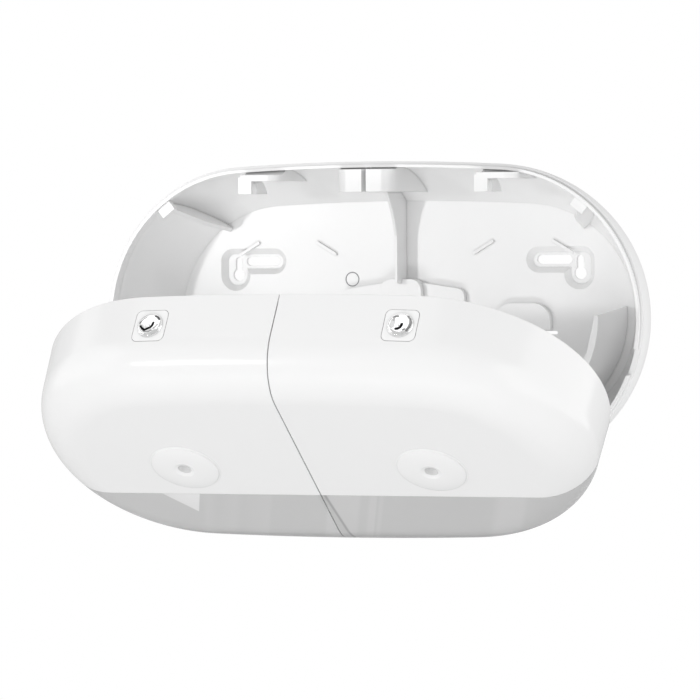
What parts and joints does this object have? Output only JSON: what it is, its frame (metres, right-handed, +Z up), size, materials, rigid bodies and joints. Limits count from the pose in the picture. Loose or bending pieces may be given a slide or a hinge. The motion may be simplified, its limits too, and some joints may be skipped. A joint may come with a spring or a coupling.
{
  "type": "twin roll toilet paper dispenser",
  "caption": "Wall dispenser for a pair of toilet rolls with split hinged covers, key locks, frosted lower windows and centre-feed nozzles, shown open.",
  "frame": {"origin": "in the wall plane, at the centre of the case seen from the front", "axes": "+X to the right seen from the front, +Z up, +Y into the wall"},
  "size_m": [0.398, 0.2819, 0.2602],
  "materials": {
    "white_shell_plastic": "glossy white moulded plastic",
    "white_cover_plastic": "glossy white moulded plastic",
    "frosted_plastic": "frosted translucent grey plastic",
    "grey_plastic": "satin light grey plastic",
    "lock_chrome": "bright nickel",
    "zinc_steel": "zinc plated steel",
    "pin_steel": "plain steel"
  },
  "bodies": {
    "base": {"rear_shell": "white_shell_plastic", "right_roll_cradle": "white_shell_plastic", "right_inner_hinge_pin": "pin_steel", "right_outer_hinge_pin": "pin_steel", "left_roll_cradle": "white_shell_plastic", "left_inner_hinge_pin": "pin_steel", "left_outer_hinge_pin": "pin_steel"},
    "right_cover_body": {"right_cover": "white_cover_plastic", "right_window": "frosted_plastic", "right_nozzle_disc": "white_cover_plastic", "right_nozzle_ring": "grey_plastic", "right_nozzle_funnel": "grey_plastic", "right_lock_bezel": "grey_plastic", "right_lock_nut": "zinc_steel"},
    "right_lock": {"right_lock_barrel": "lock_chrome", "right_lock_cam": "zinc_steel", "right_lock_clip": "zinc_steel"},
    "left_cover_body": {"left_cover": "white_cover_plastic", "left_window": "frosted_plastic", "left_nozzle_disc": "white_cover_plastic", "left_nozzle_ring": "grey_plastic", "left_nozzle_funnel": "grey_plastic", "left_lock_bezel": "grey_plastic", "left_lock_nut": "zinc_steel"},
    "left_lock": {"left_lock_barrel": "lock_chrome", "left_lock_cam": "zinc_steel", "left_lock_clip": "zinc_steel"}
  },
  "joints": [
    {"name": "right_cover_hinge", "type": "hinge", "parent": "base", "child": "right_cover_body", "pos_m": [0.059, -0.0791, -0.1122], "axis": [-1, 0, 0], "range_deg": [0, 52.7]},
    {"name": "right_lock_turn", "type": "hinge", "parent": "right_cover_body", "child": "right_lock", "pos_m": [0.08894, -0.26881, -0.00012], "axis": [0.0518, -0.826, 0.5613], "range_deg": [0, 90]},
    {"name": "left_cover_hinge", "type": "hinge", "parent": "base", "child": "left_cover_body", "pos_m": [-0.059, -0.0791, -0.1122], "axis": [-1, 0, 0], "range_deg": [0, 52.7]},
    {"name": "left_lock_turn", "type": "hinge", "parent": "left_cover_body", "child": "left_lock", "pos_m": [-0.08894, -0.26881, -0.00012], "axis": [-0.0518, -0.826, 0.5613], "range_deg": [0, 90]}
  ]
}
